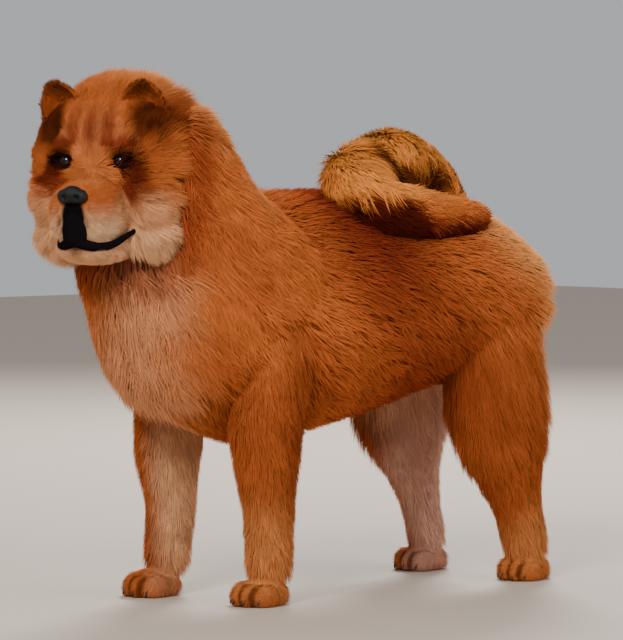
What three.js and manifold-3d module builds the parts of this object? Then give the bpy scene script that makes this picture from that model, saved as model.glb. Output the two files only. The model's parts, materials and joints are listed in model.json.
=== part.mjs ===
// A chow chow standing four-square, head turned to its left, tail curled over the back.
// Millimetres, +Z up. The dog looks along -Y and its left side is +X.
// The origin is on the floor, under the middle of the model's box.
import * as THREE from "three";
import { mergeVertices } from "three/addons/utils/BufferGeometryUtils.js";
import Module from "manifold-3d";

const wasm = await Module();
wasm.setup();

// Driving dimensions
const GAP = 0.4; // between nodes that touch
const FRONT_HALF_TRACK = 90; // half the distance between the front legs
const HIND_HALF_TRACK = 94;
const HEAD_TURN = THREE.MathUtils.degToRad(26); // to the dog's left
const EYE_MIDDLE = new THREE.Vector3(30, -230, 573); // the point between the eyes
const EYE_HALF_SPACING = 37.5;
const EYE_RADIUS = 10.5;
const LOCK_THICK = 7;
const ROOT_SINK = 7; // how deep the root of a lock sits in its core
const ROOM = 900; // larger than anything beside a cut
const CORE_SHARE = 0.45; // how far up the coat's depth the dense part of it reaches

const COLOURS = {
  coat: 0xb4622a,
  pale: 0xc98f63,
  ear: 0x8a4520,
  nose: 0x16161b,
  eye: 0x1a0f0a,
};

// One number from 0 to 1 after another, always the same row of them for one seed
function draws(seed) {
  let state = seed >>> 0;
  return () => {
    state = (state + 0x6d2b79f5) >>> 0;
    let mixed = Math.imul(state ^ (state >>> 15), 1 | state);
    mixed = (mixed + Math.imul(mixed ^ (mixed >>> 7), 61 | mixed)) ^ mixed;
    return ((mixed ^ (mixed >>> 14)) >>> 0) / 4294967296;
  };
}

// A three.js geometry as a manifold-3d solid
function solid(geometry) {
  geometry.deleteAttribute("normal");
  geometry.deleteAttribute("uv");
  const merged = mergeVertices(geometry, 1e-3);
  return new wasm.Manifold(
    new wasm.Mesh({
      numProp: 3,
      vertProperties: merged.attributes.position.array,
      triVerts: new Uint32Array(merged.index.array),
    }),
  );
}

// The largest closed surface of a solid as a three.js geometry
function geometryOf(made) {
  const largest = made.decompose().sort((a, b) => b.volume() - a.volume())[0];
  const { vertProperties, triVerts } = largest.getMesh();
  return new THREE.BufferGeometry()
    .setAttribute("position", new THREE.BufferAttribute(vertProperties, 3))
    .setIndex(new THREE.BufferAttribute(triVerts, 1));
}

const join = (...solids) => solids.flat().reduce((all, next) => all.add(next));
const cut = (made, ...others) =>
  others.flat().reduce((rest, other) => rest.subtract(other), made);
const touches = (a, b) => a.intersect(b).volume() > 1e-3;
const below = (z) =>
  solid(new THREE.BoxGeometry(2 * ROOM, 4 * ROOM, ROOM).translate(0, 0, z - ROOM / 2));
const above = (z) =>
  solid(new THREE.BoxGeometry(2 * ROOM, 4 * ROOM, ROOM).translate(0, 0, z + ROOM / 2));

// A solid given in one group's frame, in the frame of another
function carry(made, from, to) {
  from.updateWorldMatrix(true, false);
  to.updateWorldMatrix(true, false);
  const move = to.matrixWorld.clone().invert().multiply(from.matrixWorld);
  return made.transform(move.elements);
}

// A skin drawn through stations [x, y, z, half width, above, below, coat]: the sizes are those of
// the solid core, and the last figure is how far the tips of the coat stand off it.
class Skin {
  constructor(stations, { sides = 16, rings = 12, cap = 0.1, square = 1 } = {}) {
    const curve = (pick) =>
      new THREE.CatmullRomCurve3(
        stations.map((s) => new THREE.Vector3(...pick(s))),
        false,
        "catmullrom",
      );
    this.spine = curve((s) => s.slice(0, 3));
    this.girth = curve((s) => s.slice(3, 6));
    this.coats = curve((s) => [s[6] ?? 0, 0, 0]);
    this.length = this.spine.getLength();
    Object.assign(this, { sides, rings, cap, square });
  }

  // How far the rounded ends draw the section in, from 0 at the very end to 1
  closing(t) {
    const near = Math.max(0, Math.min(t, 1 - t)) / this.cap;
    return near >= 1 ? 1 : Math.sqrt(1 - (1 - near) ** 2);
  }

  coatAt(t) {
    return this.coats.getPoint(THREE.MathUtils.clamp(t, 0, 1)).x;
  }

  frameAt(t) {
    const along = this.spine.getTangent(THREE.MathUtils.clamp(t, 0, 1));
    const side = new THREE.Vector3(1, 0, 0).addScaledVector(along, -along.x).normalize();
    return { along, side, up: side.clone().cross(along) };
  }

  // The point at a share t of the length and an angle round it (0 is left, 90 is up or back).
  // Past either end the line goes straight on.
  at(t, angle, lift = 0) {
    const inside = THREE.MathUtils.clamp(t, 0, 1);
    const { along, side, up } = this.frameAt(inside);
    const girth = this.girth.getPoint(inside);
    const round = (v) => Math.sign(v) * Math.abs(v) ** this.square;
    const [c, s] = [Math.cos(angle), Math.sin(angle)];
    const height = s > 0 ? girth.y : girth.z;
    const shut = this.closing(inside);
    const out = new THREE.Vector3(c / girth.x, s / height, 0).normalize().multiplyScalar(lift);
    return this.spine
      .getPoint(inside)
      .addScaledVector(along, (t - inside) * this.length)
      .addScaledVector(side, round(c) * girth.x * shut + out.x)
      .addScaledVector(up, round(s) * height * shut + out.y);
  }

  // The way straight out of the surface
  normalAt(t, angle) {
    const nudge = 0.01;
    const from = Math.min(t, 1 - nudge);
    const perT = this.at(from + nudge, angle).sub(this.at(from, angle));
    const perAngle = this.at(from, angle + nudge).sub(this.at(from, angle));
    return perT.cross(perAngle).normalize();
  }

  // The core as a closed solid, grown all round by some millimetres
  core(grow = 0) {
    const sphere = new THREE.SphereGeometry(1, this.sides, this.rings);
    const place = sphere.attributes.position;
    const gather = 0.7; // how closely the rings gather at the ends
    for (let i = 0; i < place.count; i++) {
      const share = 1 - sphere.attributes.uv.getY(i);
      const t = share - (gather * Math.sin(2 * Math.PI * share)) / (2 * Math.PI);
      const pole = share < 1e-6 || share > 1 - 1e-6;
      const angle = pole ? 0 : Math.atan2(-place.getZ(i), place.getX(i));
      const { along } = this.frameAt(t);
      const lift = grow + CORE_SHARE * this.coatAt(t) * this.closing(t);
      const point = pole ? this.spine.getPoint(t) : this.at(t, angle, lift);
      point.addScaledVector(along, grow * (2 * t - 1));
      place.setXYZ(i, point.x, point.y, point.z);
    }
    return solid(sphere);
  }
}

// Steps in t and in the angle that carry a point of a skin along its surface by a wished vector
function stepsAlong(skin, t, angle, wish) {
  const nudge = 0.01;
  const here = skin.at(t, angle);
  const perT = skin.at(t + nudge, angle).sub(here).divideScalar(nudge);
  const perAngle = skin.at(t, angle + nudge).sub(here).divideScalar(nudge);
  const [a, b, c] = [perT.dot(perT), perT.dot(perAngle), perAngle.dot(perAngle)];
  const [p, q] = [perT.dot(wish), perAngle.dot(wish)];
  const det = a * c - b * b;
  return [(p * c - q * b) / det, (q * a - p * b) / det];
}

// One lock of coat: a flat spike rooted in the core that bends over along the wished lie
const LOCK_RINGS = [
  // share of the length, height as a share of the coat, width as a share
  [1 / 3, 0.72, 1],
  [2 / 3, 1, 0.72],
  [1, 1.15, 0],
];
function lock(skin, { t, angle, wish, wide, thick, lift = 1 }, grow = 0) {
  const [perT, perAngle] = stepsAlong(skin, t, angle, wish);
  const coat = skin.coatAt(t);
  const root = CORE_SHARE * coat - ROOT_SINK;
  const profile = [[0, root / coat, 0.8], ...LOCK_RINGS];
  const centre = (k) => {
    const i = Math.min(2, Math.floor(k * 3 + 1e-6));
    const part = k * 3 - i;
    const height = THREE.MathUtils.lerp(profile[i][1], profile[i + 1][1], part);
    return skin.at(t + perT * k, angle + perAngle * k, coat * height * (k > 0.1 ? lift : 1));
  };
  const spike = new THREE.ConeGeometry(1, 1, 4, 3);
  const place = spike.attributes.position;
  for (let i = 0; i < place.count; i++) {
    const k = THREE.MathUtils.clamp(place.getY(i) + 0.5, 0, 1);
    const reach = Math.hypot(place.getX(i), place.getZ(i));
    const share = profile[Math.round(k * 3)][2];
    const along = centre(Math.min(1, k + 0.05)).sub(centre(Math.max(0, k - 0.05))).normalize();
    const flank = along.clone().cross(skin.normalAt(t + perT * k, angle + perAngle * k)).normalize();
    const out = flank.clone().cross(along);
    const point = centre(k).addScaledVector(along, grow * (2 * k - 1) * 2);
    if (reach > 1e-6) {
      point.addScaledVector(flank, (place.getX(i) / reach) * (wide * share * 0.5 + grow));
      point.addScaledVector(out, (place.getZ(i) / reach) * (thick * share * 0.5 + grow));
    }
    place.setXYZ(i, point.x, point.y, point.z);
  }
  return solid(spike);
}

// Locks in staggered rows over a skin, left out where they would meet the forms in the way
function locks(skin, plan, inTheWay) {
  const draw = draws(plan.seed);
  const made = { solids: [], rooms: [] };
  const apart = (plan.to - plan.from) / plan.rows;
  for (let row = 0; row < plan.rows; row++) {
    const t = THREE.MathUtils.lerp(plan.from, plan.to, row / Math.max(1, plan.rows - 1));
    const girth = skin.girth.getPoint(t);
    const around = Math.PI * (girth.x + (girth.y + girth.z) / 2);
    const count = Math.round(around / plan.across);
    for (let j = 0; j < count; j++) {
      const angle = ((j + (row % 2) / 2 + 0.4 * (draw() - 0.5)) / count) * 2 * Math.PI;
      const [vary, shift] = [0.85 + 0.3 * draw(), 0.4 * (draw() - 0.5)];
      const start = THREE.MathUtils.clamp(t + shift * apart, 0.04, 0.96);
      const wish = plan.lie(start, angle).normalize().multiplyScalar(plan.long * vary);
      const shape = { t: start, angle, wish, wide: plan.wide * vary, thick: plan.thick };
      const fits = [1, 1.35, 0.6].find(
        (lift) => !touches(lock(skin, { ...shape, lift }, GAP), inTheWay),
      );
      if (fits === undefined) continue;
      made.solids.push(lock(skin, { ...shape, lift: fits }));
      made.rooms.push(lock(skin, { ...shape, lift: fits }, GAP));
    }
  }
  return made;
}

// An ellipsoid with its half sizes, turned about the Z axis
function ball([x, y, z], [a, b, c], { turn = 0, across = 7, down = 5 } = {}) {
  return solid(
    new THREE.SphereGeometry(1, across, down)
      .rotateX(Math.PI / 2)
      .scale(a, b, c)
      .rotateZ(turn)
      .translate(x, y, z),
  );
}

// Trunk: from the breastbone to the rump. Columns are x, y, z, half width, above, below, coat.
const TRUNK = new Skin(
  [
    [0, -95, 372, 104, 96, 92, 12],
    [0, -30, 362, 124, 136, 122, 14],
    [0, 45, 358, 134, 156, 140, 18],
    [0, 130, 364, 137, 153, 130, 20],
    [0, 220, 375, 138, 142, 122, 20],
    [0, 320, 385, 135, 130, 108, 20],
    [0, 410, 388, 130, 109, 100, 22],
    [0, 475, 386, 112, 70, 104, 26],
    [0, 512, 383, 92, 36, 104, 28],
  ],
  { sides: 24, rings: 16, cap: 0.12 },
);

// Mane: from behind the ears down the neck and over the shoulders and the chest
const MANE = new Skin(
  [
    [6, -152, 630, 84, 50, 92, 26],
    [4, -112, 584, 100, 60, 116, 30],
    [0, -60, 516, 116, 48, 142, 28],
    [0, 0, 448, 126, 62, 180, 28],
    [0, 58, 386, 128, 84, 194, 28],
  ],
  { sides: 24, rings: 13, cap: 0.16 },
);

// Head, in the head's own frame: the origin is between the eyes, the face looks along -Y
const SKULL = new Skin(
  [
    [0, -12, -6, 70, 42, 58, 0],
    [0, 16, 0, 88, 66, 80, 4],
    [0, 50, 8, 92, 84, 84, 12],
    [0, 90, 12, 86, 84, 76, 20],
    [0, 128, 8, 72, 72, 66, 22],
  ],
  { sides: 20, rings: 11, cap: 0.22, square: 0.94 },
);
const MUZZLE = new Skin(
  [
    [0, -61, -66, 35, 29, 36],
    [0, -38, -64, 43, 34, 42],
    [0, -6, -60, 51, 40, 44],
    [0, 40, -52, 58, 48, 42],
  ],
  { sides: 16, rings: 9, cap: 0.2, square: 0.8 },
);
const JAW = new Skin(
  [
    [0, -53, -106, 27, 18, 12],
    [0, -30, -108, 36, 22, 15],
    [0, 0, -107, 46, 24, 18],
    [0, 42, -98, 56, 30, 22],
  ],
  { sides: 14, rings: 8, cap: 0.22, square: 0.85 },
);

// An ear, in a frame at the middle of its base: "above" is its open front, "below" its back
const EAR = new Skin(
  [
    [-4, 12, -34, 33, 14, 16, 0],
    [0, 4, -8, 33, 14, 15, 0],
    [3, -9, 20, 26, 10, 12, 0],
    [6, -24, 47, 10, 4, 5, 0],
  ],
  { sides: 14, rings: 9, cap: 0.16 },
);
const EAR_CUP = new Skin(
  [
    [-2, -4, -26, 22, 18, 6],
    [1, -10, -4, 22, 18, 6],
    [3, -18, 16, 18, 14, 5],
    [5, -30, 38, 8, 10, 2],
  ],
  { sides: 10, rings: 7, cap: 0.3 },
);

// Legs, from the top down. Columns are x, y, z, half width, behind, in front, coat.
const frontLeg = (side, step) =>
  new Skin(
    [
      [side * 84, 22, 400, 46, 62, 60, 0],
      [side * 92, 12, 320, 52, 60, 62, 0],
      [side * 94, 4, 250, 50, 54, 56, 0],
      [side * 92, 6 + step * 0.5, 190, 45, 48, 48, 0],
      [side * FRONT_HALF_TRACK, 10 + step * 0.6, 130, 37, 39, 38, 0],
      [side * FRONT_HALF_TRACK, 12 + step * 0.8, 80, 34, 35, 35, 0],
      [side * FRONT_HALF_TRACK, 10 + step, 26, 33, 34, 34, 0],
    ],
    { sides: 14, rings: 11, cap: 0.1 },
  );
const hindLeg = (side, step, girth) =>
  new Skin(
    [
      [side * 80, 392, 400, 58, 80, 84, 14],
      [side * 86, 408, 305, 54, 80, 76, 14],
      [side * HIND_HALF_TRACK, 422 + step * 0.3, 225, 47, 72, 68, 12],
      [side * HIND_HALF_TRACK, 440 + step * 0.5, 160, 40 * girth, 56 * girth, 54 * girth, 5],
      [side * HIND_HALF_TRACK, 456 + step * 0.7, 110, 34 * girth, 44 * girth, 42 * girth, 0],
      [side * HIND_HALF_TRACK, 470 + step * 0.9, 66, 31 * girth, 38 * girth, 38 * girth, 0],
      [side * HIND_HALF_TRACK, 478 + step, 24, 31 * girth, 36 * girth, 36 * girth, 0],
    ],
    { sides: 16, rings: 12, cap: 0.1 },
  );

// Tail: up from the croup and forward over the back, then down and back along the left side.
// "Above" is the inside of the curl, "below" the outside, where the long plume grows.
const TAIL_ROOT = new Skin(
  [
    [0, 430, 448, 26, 30, 28, 0],
    [0, 426, 482, 27, 26, 26, 6],
    [2, 402, 512, 30, 24, 27, 16],
    [8, 358, 534, 34, 26, 28, 28],
    [16, 304, 552, 36, 28, 28, 38],
    [26, 256, 552, 36, 28, 28, 40],
  ],
  { sides: 14, rings: 11, cap: 0.12 },
);
const TAIL_TIP = new Skin(
  [
    [28, 238, 550, 28, 22, 28, 38],
    [54, 204, 540, 26, 18, 28, 36],
    [84, 196, 524, 24, 16, 26, 32],
    [106, 226, 508, 22, 18, 22, 24],
    [110, 280, 498, 20, 22, 18, 18],
    [104, 334, 495, 18, 20, 15, 14],
    [95, 376, 495, 13, 13, 10, 10],
    [86, 406, 496, 5, 5, 5, 4],
  ],
  { sides: 14, rings: 13, cap: 0.1 },
);

// What is cleared away under the floor
const underFloor = below(0);

// A paw: a pad with four arched toes, each with a claw, flat under
function paw([x, y], turn, scale = 1) {
  const pad = [33 * scale, 38 * scale, 32];
  const spot = (across, ahead) => {
    const place = new THREE.Vector2(across, -ahead).multiplyScalar(scale);
    return place.rotateAround(new THREE.Vector2(), turn).add(new THREE.Vector2(x, y));
  };
  const pieces = [ball([x, y + 2, 14], pad, { turn, across: 10 })];
  for (const [across, ahead, size] of [
    [-25, 14, 13],
    [-9.5, 24, 14],
    [9.5, 24, 14],
    [25, 14, 13],
  ]) {
    const toe = spot(across, ahead);
    const sizes = [size * 0.82 * scale, size * 1.35 * scale, 19];
    pieces.push(ball([toe.x, toe.y, 11], sizes, { turn }));
    const tip = spot(across, ahead + size * 1.3);
    const claw = new THREE.ConeGeometry(3, 16, 4).rotateX(Math.PI / 2 + 0.45).rotateZ(turn);
    pieces.push(solid(claw.translate(tip.x, tip.y, 6)));
  }
  return cut(join(pieces), underFloor);
}

// Groups: the dog, the head in it, and an ear on each side of the head
const dog = new THREE.Group();
const head = new THREE.Group();
head.position.copy(EYE_MIDDLE);
head.rotation.z = HEAD_TURN;
dog.add(head);
const earFrames = [1, -1].map((side) => {
  const frame = new THREE.Group();
  frame.position.set(side * 51, 34, 52);
  frame.rotation.z = side * 0.35;
  frame.scale.x = side;
  head.add(frame);
  return frame;
});

function addNode(parent, name, made, colour, finish = {}) {
  const mesh = new THREE.Mesh(
    geometryOf(made),
    new THREE.MeshStandardMaterial({ color: colour, roughness: 0.9, metalness: 0, ...finish }),
  );
  mesh.name = name;
  parent.add(mesh);
}

// The face: lids round deep-set eyes, brow pads, cheeks, lips, nose and the seam of the mouth
const eyeAt = (side) => [side * EYE_HALF_SPACING, 4, 0];
function lids(side) {
  const ring = new THREE.TorusGeometry(13, 3.6, 5, 12)
    .scale(1, 0.64, 1)
    .rotateX(Math.PI / 2)
    .rotateY(side * -0.14)
    .rotateZ(side * 0.3)
    .translate(side * EYE_HALF_SPACING, -7, 0);
  return solid(ring);
}
// The upper lip, as a soft roll along its edge from one corner of the mouth to the other
const LIP_EDGE = [
  [5, -66, -101],
  [16, -63, -105],
  [29, -54, -108],
  [42, -34, -107],
  [51, -12, -99],
  [57, 12, -86],
];
function lipRoll(grow = 0) {
  const left = LIP_EDGE.map((p) => new THREE.Vector3(...p));
  const right = LIP_EDGE.map(([x, y, z]) => new THREE.Vector3(-x, y, z)).reverse();
  const path = new THREE.CatmullRomCurve3([...right, ...left]);
  const section = new THREE.Shape().absarc(0, 0, 4.5 + grow, 0, 2 * Math.PI);
  const roll = { steps: 14, curveSegments: 3, extrudePath: path, bevelEnabled: false };
  return solid(new THREE.ExtrudeGeometry(section, roll));
}
function noseSolid(grow = 0) {
  const wing = (side) =>
    ball([side * 9, -62, -43], [10 + grow, 8 + grow, 9 + grow], { across: 8, down: 7 });
  const bridge = ball([0, -62, -41], [13 + grow, 10 + grow, 11 + grow], { across: 8, down: 7 });
  return join(wing(1), wing(-1), bridge);
}
const nostrils = [1, -1].map((side) => ball([side * 8.5, -70, -43], [3.6, 5, 3.2]));
const philtrum = solid(new THREE.BoxGeometry(2.2, 8, 48).translate(0, -64, -76));
const eyes = [1, -1].map((side) => {
  const size = [EYE_RADIUS, EYE_RADIUS, EYE_RADIUS];
  return ball(eyeAt(side), size, { across: 10, down: 7 });
});
const eyeSeats = [1, -1].map((side) => {
  const size = Array(3).fill(EYE_RADIUS + GAP);
  return ball(eyeAt(side), size, { across: 10, down: 7 });
});
const eyeSlits = [1, -1].map((side) =>
  ball([side * EYE_HALF_SPACING, -12, 0], [11, 12, 6.5], { turn: side * 0.3, across: 10 }),
);
// On each side a full cheek under the eye and the lobe of longer hair below it
const CHEEK_FORMS = [
  // x, y, z, half width, half length, half height
  [52, 42, -42, 46, 54, 56],
  [58, 66, -84, 46, 52, 48],
];
const cheeks = (grow) =>
  [1, -1].flatMap((side) =>
    CHEEK_FORMS.map(([x, y, z, ...half]) =>
      ball([side * x, y, z], half.map((size) => size + grow), { across: 10, down: 7 }),
    ),
  );
const brows = [1, -1].map((side) => ball([side * 21, -6, 20], [13, 9, 11]));
const upperHead = join(SKULL.core(), MUZZLE.core(), lipRoll(), lids(1), lids(-1), brows, cheeks(0));
const jawClearance = join(SKULL.core(GAP), MUZZLE.core(GAP), lipRoll(GAP), cheeks(GAP));

// The cores of the long-coated parts, each cut clear of those before it
const ANKLE = 34; // height of the joint between leg and paw
const HOCK = 150; // height at which the breeches end
const [frontLeft, frontRight] = [frontLeg(1, 0), frontLeg(-1, -22)];
const [hindLeft, hindRight] = [hindLeg(1, 0, 1), hindLeg(-1, -8, 0.86)];
const trunkRoom = TRUNK.core(GAP);
const maneRoom = MANE.core(GAP);
const maneInHead = carry(maneRoom, dog, head);
const thighCore = (skin) => cut(skin.core(), trunkRoom, below(HOCK));
const cores = {
  torso: TRUNK.core(),
  mane: cut(MANE.core(), trunkRoom),
  head: cut(upperHead, eyeSlits, eyeSeats, philtrum, noseSolid(GAP), maneInHead),
  tail_root: cut(TAIL_ROOT.core(), trunkRoom),
  tail_tip: cut(TAIL_TIP.core(), trunkRoom, TAIL_ROOT.core(GAP)),
  thigh_left: thighCore(hindLeft),
  thigh_right: thighCore(hindRight),
};

// What each of them keeps clear of, in the dog's frame
const rooms = {
  torso: trunkRoom,
  mane: maneRoom,
  head: carry(join(SKULL.core(GAP), MUZZLE.core(GAP), JAW.core(GAP), cheeks(GAP)), head, dog),
  tail_root: TAIL_ROOT.core(GAP),
  tail_tip: TAIL_TIP.core(GAP),
  thigh_left: hindLeft.core(GAP),
  thigh_right: hindRight.core(GAP),
  ears: join(earFrames.map((frame) => carry(EAR.core(GAP), frame, dog))),
  front_legs: join(frontLeft.core(GAP), frontRight.core(GAP)),
  hocks: cut(join(hindLeft.core(GAP), hindRight.core(GAP)), above(HOCK)),
  floor: below(GAP),
};

// The way the coat lies: back and down on the body, out from the face at the ruff's rim,
// and along the tail while fanning out of its curl
const outward = (skin, t, angle) => {
  const { side, up } = skin.frameAt(t);
  return side.multiplyScalar(Math.cos(angle)).addScaledVector(up, Math.sin(angle));
};
const backAndDown = (back, down) => () => new THREE.Vector3(0, back, -down);
const ruffLie = (t, angle) =>
  new THREE.Vector3(0, 0.6, -0.8).addScaledVector(outward(MANE, t, angle), t < 0.16 ? 1.5 : 0);
const plumeLie = (skin) => (t, angle) =>
  skin.frameAt(t).along.addScaledVector(outward(skin, t, angle), 0.3);

const PLANS = [
  { name: "mane", skin: MANE, rows: 8, from: 0.07, to: 0.95, across: 54, long: 100, wide: 38 },
  { name: "torso", skin: TRUNK, rows: 6, from: 0.3, to: 0.93, across: 82, long: 92, wide: 40 },
  { name: "tail_root", skin: TAIL_ROOT, rows: 6, from: 0.2, to: 0.95, across: 42, long: 84, wide: 24 },
  { name: "tail_tip", skin: TAIL_TIP, rows: 7, from: 0.06, to: 0.86, across: 36, long: 70, wide: 22 },
  { name: "thigh_left", skin: hindLeft, rows: 4, from: 0.14, to: 0.5, across: 56, long: 76, wide: 30 },
  { name: "thigh_right", skin: hindRight, rows: 4, from: 0.14, to: 0.5, across: 56, long: 76, wide: 30 },
  { name: "head", skin: SKULL, rows: 4, from: 0.46, to: 0.8, across: 44, long: 62, wide: 30 },
];
const LIES = {
  mane: ruffLie,
  torso: backAndDown(0.8, 0.6),
  tail_root: plumeLie(TAIL_ROOT),
  tail_tip: plumeLie(TAIL_TIP),
  thigh_left: backAndDown(0.25, 1),
  thigh_right: backAndDown(0.25, 1),
  head: (t, angle) => new THREE.Vector3(0, 1, 0).addScaledVector(outward(SKULL, t, angle), 1.1),
};
PLANS.forEach(({ name, ...plan }, i) => {
  const home = name === "head" ? head : dog;
  const others = Object.entries(rooms).filter(([other]) => other !== name);
  const inTheWay = carry(join(others.map(([, room]) => room)), dog, home);
  const details = { ...plan, thick: LOCK_THICK, seed: i + 1, lie: LIES[name] };
  const { solids, rooms: grown } = locks(plan.skin, details, inTheWay);
  cores[name] = join(cores[name], solids);
  rooms[name] = join(rooms[name], carry(join(grown), home, dog));
});

addNode(dog, "torso", cores.torso, COLOURS.coat);
addNode(dog, "mane", cores.mane, COLOURS.coat);
addNode(head, "head", cores.head, COLOURS.coat);
addNode(head, "lower_jaw", cut(JAW.core(), jawClearance, maneInHead), COLOURS.pale);
addNode(head, "nose", cut(noseSolid(), nostrils), COLOURS.nose, { roughness: 0.4 });
["left", "right"].forEach((name, i) => {
  addNode(head, `eye_${name}`, eyes[i], COLOURS.eye, { roughness: 0.1 });
  const skullRoom = carry(SKULL.core(GAP), head, earFrames[i]);
  const maneHere = carry(maneRoom, dog, earFrames[i]);
  const ear = cut(EAR.core(), EAR_CUP.core(), skullRoom, maneHere);
  addNode(earFrames[i], `ear_${name}`, ear, COLOURS.ear);
});
addNode(dog, "tail_root", cores.tail_root, COLOURS.coat);
addNode(dog, "tail_tip", cores.tail_tip, COLOURS.coat);

// Legs and paws
for (const [name, skin, pawMiddle, turn] of [
  ["left", frontLeft, [FRONT_HALF_TRACK, 0], 0.06],
  ["right", frontRight, [-FRONT_HALF_TRACK, -31], -0.06],
]) {
  const leg = cut(skin.core(), trunkRoom, maneRoom, below(ANKLE));
  const wrist = cut(skin.core(), underFloor);
  addNode(dog, `front_leg_${name}`, leg, COLOURS.coat);
  const foot = cut(join(paw(pawMiddle, turn), wrist), above(ANKLE - GAP));
  addNode(dog, `front_paw_${name}`, foot, COLOURS.coat);
}
for (const [name, skin, pawMiddle, turn] of [
  ["left", hindLeft, [HIND_HALF_TRACK, 476], 0.1],
  ["right", hindRight, [-HIND_HALF_TRACK, 460], -0.1],
]) {
  addNode(dog, `thigh_${name}`, cores[`thigh_${name}`], COLOURS.coat);
  const hock = cut(skin.core(), trunkRoom, above(HOCK - GAP), below(ANKLE));
  addNode(dog, `hock_${name}`, hock, COLOURS.coat);
  const heel = cut(skin.core(), underFloor);
  const foot = cut(join(paw(pawMiddle, turn, 0.96), heel), above(ANKLE - GAP));
  addNode(dog, `hind_paw_${name}`, foot, COLOURS.coat);
}

// The origin, on the floor under the middle of the whole
const extent = new THREE.Box3().setFromObject(dog, true);
const middle = extent.getCenter(new THREE.Vector3());
dog.position.set(-middle.x, -middle.y, 0);

export default dog;
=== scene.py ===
"""A standing chow chow in its long red coat, dressed over the frame of its CAD model.

The forms of the body are drawn through the same stations as the solids, in millimetres and in
the frame they were designed in, and moved to the part's own origin at the end. They are fused
into one skin, and the coat grows from it as tufts that follow the lie of the hair.
"""
import json
import math

import bpy
import numpy as np
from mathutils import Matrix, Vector, kdtree

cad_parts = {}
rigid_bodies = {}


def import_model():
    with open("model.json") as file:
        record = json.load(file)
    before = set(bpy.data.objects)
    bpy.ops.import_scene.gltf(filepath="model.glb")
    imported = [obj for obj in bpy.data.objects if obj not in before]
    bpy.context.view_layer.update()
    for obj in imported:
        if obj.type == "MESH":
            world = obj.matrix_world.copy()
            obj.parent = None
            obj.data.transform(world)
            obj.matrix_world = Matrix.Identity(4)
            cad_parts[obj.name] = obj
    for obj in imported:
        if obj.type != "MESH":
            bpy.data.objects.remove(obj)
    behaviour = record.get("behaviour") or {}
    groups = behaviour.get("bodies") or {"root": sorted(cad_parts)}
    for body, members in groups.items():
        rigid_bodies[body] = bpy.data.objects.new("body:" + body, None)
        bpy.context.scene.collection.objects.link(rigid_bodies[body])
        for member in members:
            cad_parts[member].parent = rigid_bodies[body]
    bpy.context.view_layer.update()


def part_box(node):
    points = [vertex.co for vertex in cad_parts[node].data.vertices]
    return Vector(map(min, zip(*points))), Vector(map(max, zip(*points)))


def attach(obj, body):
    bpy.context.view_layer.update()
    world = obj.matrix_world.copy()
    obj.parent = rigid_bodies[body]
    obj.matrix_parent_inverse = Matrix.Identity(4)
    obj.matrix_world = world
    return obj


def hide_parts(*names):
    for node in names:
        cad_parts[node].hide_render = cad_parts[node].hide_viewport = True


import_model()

MM = 0.001
rng = np.random.default_rng(20)

# Where the head sits, as in the solids
EYE_MIDDLE = np.array([30.0, -230.0, 573.0])
HEAD_TURN = math.radians(26)
EYE_HALF_SPACING = 37.5
EYE_RADIUS = 10.5
EYE_DEPTH = 4.0
FRONT_HALF_TRACK = 90
HIND_HALF_TRACK = 94


def turn_about_z(angle):
    c, s = math.cos(angle), math.sin(angle)
    return np.array([[c, -s, 0], [s, c, 0], [0, 0, 1]])


class Home:
    """A frame that a form is given in: a turn, a mirroring and a place in the dog's frame."""

    def __init__(self, turn=0.0, place=(0, 0, 0), mirror=1, parent=None):
        self.matrix = turn_about_z(turn) @ np.diag([mirror, 1, 1])
        self.place = np.array(place, float)
        self.parent = parent

    def out(self, points):
        moved = points @ self.matrix.T + self.place
        return self.parent.out(moved) if self.parent else moved

    def turned_out(self, vectors):
        moved = vectors @ self.matrix.T
        return self.parent.turned_out(moved) if self.parent else moved

    def into(self, points):
        here = self.parent.into(points) if self.parent else points
        return (here - self.place) @ np.linalg.inv(self.matrix).T


BOTH_SIDES = (1, -1)
EAR_TURNS = (0.35, -0.08)  # the left ear looks out to the side, the right one ahead

DOG = Home()
HEAD = Home(HEAD_TURN, EYE_MIDDLE)
EARS = [Home(turn, (side * 52, 28, 52), side, HEAD) for side, turn in zip(BOTH_SIDES, EAR_TURNS)]

# The design frame in the part's own frame, found from an eye
eye_middle = np.mean(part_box("eye_left"), axis=0)
designed = HEAD.out(np.array([[EYE_HALF_SPACING, EYE_DEPTH, 0]]))[0] * MM
SHIFT = np.array([eye_middle[0] - designed[0], eye_middle[1] - designed[1], 0.0])


def unit(vectors):
    return vectors / np.maximum(np.linalg.norm(vectors, axis=-1, keepdims=True), 1e-9)


def mix(a, b, share):
    return a + (b - a) * share


def smooth(low, high, value):
    """A soft step from 0 at low to 1 at high, which may be the smaller one."""
    share = np.clip((value - low) / (high - low), 0, 1)
    return share * share * (3 - 2 * share)


def off_middle(points, place, half):
    """How far points lie from a place, with 1 on the ellipsoid of the half sizes."""
    return np.linalg.norm((points - np.array(place)) / np.array(half), axis=1)


def curve(stations, t):
    """Points at the shares t of a Catmull-Rom curve through the stations."""
    ends = [2 * stations[0] - stations[1]], [2 * stations[-1] - stations[-2]]
    p = np.vstack([ends[0], stations, ends[1]])
    place = np.clip(t, 0, 1) * (len(stations) - 1)
    i = np.minimum(place.astype(int), len(stations) - 2)
    w = (place - i)[:, None]
    before, here, there, after = (p[i + k] for k in range(4))
    a, b = (there - before) / 2, (after - here) / 2
    return here + a * w + (3 * (there - here) - 2 * a - b) * w**2 + (2 * (here - there) + a + b) * w**3


CLOSER_AT_ENDS = 0.7


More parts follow.
